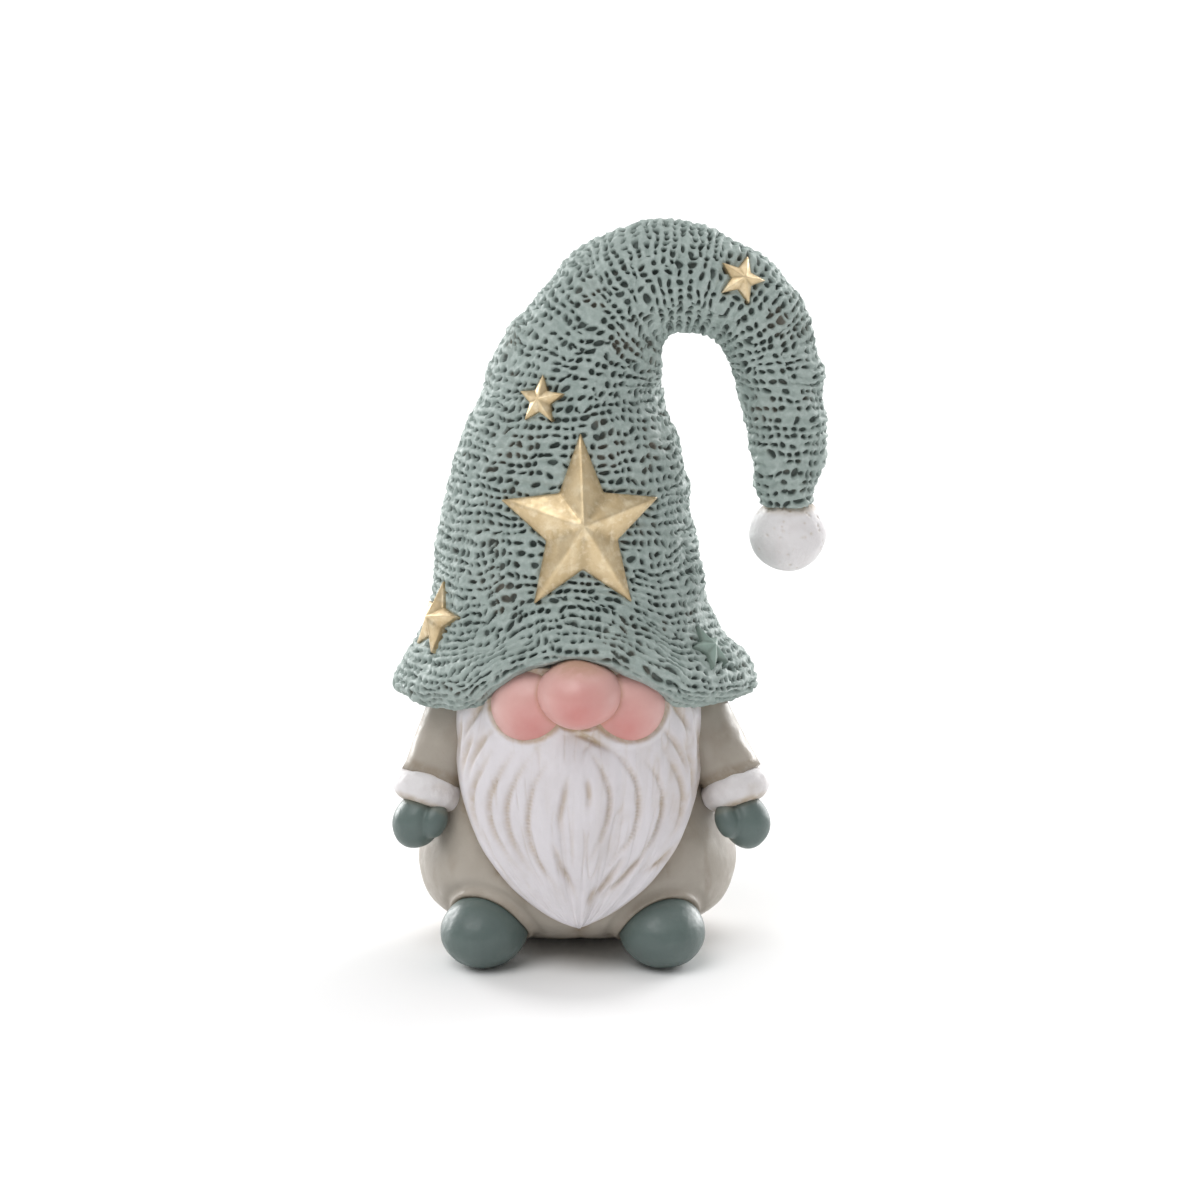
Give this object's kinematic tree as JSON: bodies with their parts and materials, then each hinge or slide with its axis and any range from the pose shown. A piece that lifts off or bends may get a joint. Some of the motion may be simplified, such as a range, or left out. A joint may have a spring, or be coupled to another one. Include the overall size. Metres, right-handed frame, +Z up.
{
  "type": "garden gnome ornament",
  "caption": "Standing gnome ornament with a tall knitted hat that curls over to a pompom, raised stars, a round nose, a long beard, mittens and boots.",
  "frame": {"origin": "on the surface it stands on, under the middle of the coat, at the front of the flat foot", "axes": "+Z up, -Y the way the gnome faces, +X its own left, the side its hat curls over to"},
  "size_m": [0.1068, 0.0858, 0.1798],
  "materials": {
    "hat_paint": "satin sage paint over knit relief, darker in the hollows",
    "gold_paint": "metallic gold paint, rubbed at the ridges",
    "skin_paint": "satin pink paint with a warmer blush",
    "beard_paint": "satin off-white paint with a tan wash in the grooves",
    "coat_paint": "satin greige paint",
    "fur_paint": "matt white paint on a grainy relief",
    "green_paint": "dark grey-green paint, satin to gloss",
    "bare_resin": "unpainted cast resin"
  },
  "bodies": {
    "root": {"coat": "coat_paint", "base_disc": "bare_resin", "head": "bare_resin", "nose": "skin_paint", "cheek_left": "skin_paint", "cheek_right": "skin_paint", "hat": "hat_paint", "pompom": "fur_paint", "star_big": "gold_paint", "star_crown": "gold_paint", "star_brim": "gold_paint", "star_tail": "gold_paint", "star_plain": "hat_paint", "beard": "beard_paint", "sleeve_left": "coat_paint", "sleeve_right": "coat_paint", "cuff_left": "fur_paint", "cuff_right": "fur_paint", "mitten_left": "green_paint", "mitten_right": "green_paint", "boot_left": "green_paint", "boot_right": "green_paint"}
  },
  "joints": []
}
